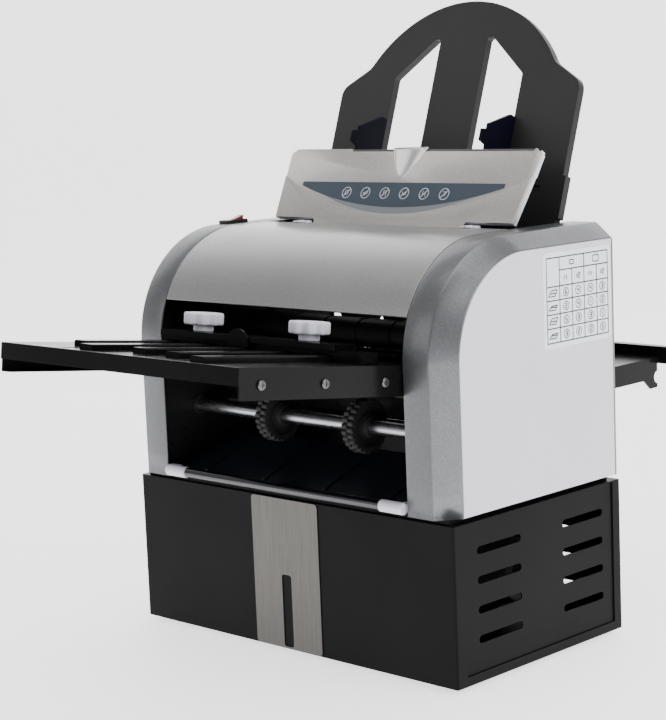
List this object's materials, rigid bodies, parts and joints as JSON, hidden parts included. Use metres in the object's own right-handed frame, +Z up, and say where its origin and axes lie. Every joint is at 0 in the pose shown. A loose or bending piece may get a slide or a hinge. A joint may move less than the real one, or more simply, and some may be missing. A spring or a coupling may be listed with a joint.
{
  "type": "desktop paper folding machine",
  "caption": "Desktop paper folding machine: round-fronted hood on a vented metal cabinet, tilted front fold plate with sliding stop, rear fold plate, feed lid and domed paper support.",
  "frame": {"origin": "on the table under the middle of the machine's overall length and width", "axes": "+X to the user's right, the front faces -Y, +Z up"},
  "size_m": [0.43, 0.6194, 0.6347],
  "materials": {
    "cabinet_black": "semi-gloss black paint",
    "foot_rubber": "matt",
    "kick_steel": "brushed upright",
    "inlet_plastic": "black",
    "motor_steel": "grey enamel",
    "pulley_metal": "turned",
    "belt_rubber": "matt",
    "board_green": "glass fibre board",
    "frame_black": "black coated sheet",
    "bush_plastic": "black acetal",
    "bar_steel": "polished",
    "cover_silver": "silver metallic lacquer",
    "panel_white": "satin white",
    "label_white": "printed film",
    "back_black": "black paint",
    "switch_black": "black",
    "rocker_red": "dark red",
    "liner_black": "black",
    "label_slate": "printed film",
    "clip_white": "white",
    "support_black": "fine grained",
    "guide_black": "black",
    "feed_rubber": "knurled",
    "gear_white": "natural acetal",
    "pad_rubber": "ground",
    "roller_steel": "ground",
    "deck_black": "moulded",
    "plate_black": "gloss black paint",
    "rib_black": "gloss black paint",
    "screw_steel": "zinc plated",
    "stop_black": "black",
    "knob_white": "white"
  },
  "bodies": {
    "machine": {"base_shell": "cabinet_black", "base_side_left": "cabinet_black", "base_side_right": "cabinet_black", "base_back": "cabinet_black", "base_top": "cabinet_black", "base_feet": "foot_rubber", "kick_plate": "kick_steel", "mains_inlet": "inlet_plastic", "motor": "motor_steel", "drive_belt": "belt_rubber", "control_board": "board_green", "side_plate_left": "frame_black", "side_plate_right": "frame_black", "bushes": "bush_plastic", "tie_bars": "bar_steel", "cover_left": "cover_silver", "cover_right": "cover_silver", "side_panel_left": "panel_white", "side_panel_right": "panel_white", "chart_label": "label_white", "top_cover": "cover_silver", "rear_cover": "back_black", "switch_bezel": "switch_black", "lid_clips": "clip_white", "feed_table": "support_black", "separator_pad": "pad_rubber", "exit_deck": "deck_black", "exit_sleeves": "clip_white", "plate_guides": "frame_black"},
    "lid": {"lid_panel": "cover_silver", "lid_liner": "liner_black", "lid_label": "label_slate"},
    "rocker": {"switch_rocker": "rocker_red"},
    "paper_support": {"support": "support_black"},
    "left_guide": {"guide_left": "guide_black"},
    "right_guide": {"guide_right": "guide_black"},
    "feed": {"feed_roller": "feed_rubber"},
    "idler": {"idler_gear": "gear_white"},
    "roller_1": {"fold_roller_1": "roller_steel"},
    "roller_2": {"fold_roller_2": "roller_steel"},
    "roller_3": {"fold_roller_3": "roller_steel"},
    "roller_4": {"fold_roller_4": "roller_steel"},
    "exit_rollers": {"exit_shaft": "roller_steel", "exit_wheels": "feed_rubber"},
    "exit_roller_bar": {"exit_bar": "bar_steel"},
    "motor_shaft": {"motor_pulley": "pulley_metal"},
    "front_plate": {"front_sheet": "plate_black", "front_under_sheet": "plate_black", "front_rails": "plate_black", "front_ribs": "rib_black", "front_screws": "screw_steel"},
    "front_stop": {"stop_comb": "stop_black", "stop_bar": "stop_black"},
    "left_knob": {"knob_left": "knob_white"},
    "right_knob": {"knob_right": "knob_white"},
    "rear_plate": {"rear_sheet": "plate_black", "rear_under_sheet": "plate_black", "rear_rails": "plate_black"},
    "back_stop": {"rear_stop": "stop_black"},
    "back_knob": {"rear_knob": "knob_white"}
  },
  "joints": [
    {"name": "roller_2_turn", "type": "hinge", "parent": "machine", "child": "roller_2", "pos_m": [0, 0.02269, 0.275], "axis": [1, 0, 0], "continuous": true},
    {"name": "roller_1_turn", "type": "hinge", "parent": "machine", "child": "roller_1", "pos_m": [0, 0.02269, 0.3054], "axis": [1, 0, 0], "continuous": true},
    {"name": "roller_3_turn", "type": "hinge", "parent": "machine", "child": "roller_3", "pos_m": [0, -0.00771, 0.275], "axis": [1, 0, 0], "continuous": true},
    {"name": "roller_4_turn", "type": "hinge", "parent": "machine", "child": "roller_4", "pos_m": [0, -0.00771, 0.2446], "axis": [1, 0, 0], "continuous": true},
    {"name": "idler_turn", "type": "hinge", "parent": "machine", "child": "idler", "pos_m": [0, 0.0516, 0.31479], "axis": [1, 0, 0], "continuous": true},
    {"name": "feed_turn", "type": "hinge", "parent": "machine", "child": "feed", "pos_m": [0, 0.08051, 0.32419], "axis": [1, 0, 0], "continuous": true},
    {"name": "exit_turn", "type": "hinge", "parent": "machine", "child": "exit_rollers", "pos_m": [0, -0.05641, 0.22878], "axis": [1, 0, 0], "continuous": true},
    {"name": "motor_turn", "type": "hinge", "parent": "machine", "child": "motor_shaft", "pos_m": [0, 0.06769, 0.072], "axis": [1, 0, 0], "continuous": true},
    {"name": "exit_bar_turn", "type": "hinge", "parent": "machine", "child": "exit_roller_bar", "pos_m": [0, -0.10931, 0.169], "axis": [1, 0, 0], "continuous": true},
    {"name": "lid_hinge", "type": "hinge", "parent": "machine", "child": "lid", "pos_m": [0, 0.05569, 0.4075], "axis": [1, 0, 0], "range_deg": [0, 35]},
    {"name": "switch_tilt", "type": "hinge", "parent": "machine", "child": "rocker", "pos_m": [-0.19, 0.02319, 0.4125], "axis": [1, 0, 0], "range_deg": [-12, 0]},
    {"name": "support_lift", "type": "slide", "parent": "machine", "child": "paper_support", "axis": [0, 0.3272, 0.9449], "range_m": [0, 0.06]},
    {"name": "left_guide_slide", "type": "slide", "parent": "machine", "child": "left_guide", "axis": [-1, 0, 0], "range_m": [-0.034, 0.062]},
    {"name": "right_guide_slide", "type": "slide", "parent": "machine", "child": "right_guide", "axis": [1, 0, 0], "range_m": [-0.034, 0.062]},
    {"name": "front_plate_pull", "type": "slide", "parent": "machine", "child": "front_plate", "axis": [0, -0.9921, 0.1253], "range_m": [0, 0.12]},
    {"name": "front_stop_slide", "type": "slide", "parent": "front_plate", "child": "front_stop", "axis": [0, -0.9921, 0.1253], "range_m": [-0.07, 0.14]},
    {"name": "left_knob_turn", "type": "hinge", "parent": "front_stop", "child": "left_knob", "pos_m": [-0.0726, -0.13305, 0.32101], "axis": [0, 0.1253, 0.9921], "continuous": true},
    {"name": "right_knob_turn", "type": "hinge", "parent": "front_stop", "child": "right_knob", "pos_m": [0.0726, -0.13305, 0.32101], "axis": [0, 0.1253, 0.9921], "continuous": true},
    {"name": "rear_plate_pull", "type": "slide", "parent": "machine", "child": "rear_plate", "axis": [0, 1, 0], "range_m": [0, 0.12]},
    {"name": "rear_stop_slide", "type": "slide", "parent": "rear_plate", "child": "back_stop", "axis": [0, 1, 0], "range_m": [-0.02, 0.07]},
    {"name": "rear_knob_turn", "type": "hinge", "parent": "back_stop", "child": "back_knob", "pos_m": [0, 0.19769, 0.2668], "axis": [0, 0, 1], "continuous": true}
  ],
  "couplings": [
    {"joint": "roller_1_turn", "follows": "roller_2_turn", "ratio": -1},
    {"joint": "roller_3_turn", "follows": "roller_2_turn", "ratio": -1},
    {"joint": "roller_4_turn", "follows": "roller_2_turn", "ratio": 1},
    {"joint": "idler_turn", "follows": "roller_2_turn", "ratio": 1},
    {"joint": "feed_turn", "follows": "roller_2_turn", "ratio": -1},
    {"joint": "exit_turn", "follows": "roller_2_turn", "ratio": -0.42222},
    {"joint": "motor_turn", "follows": "roller_2_turn", "ratio": 1.6667}
  ]
}
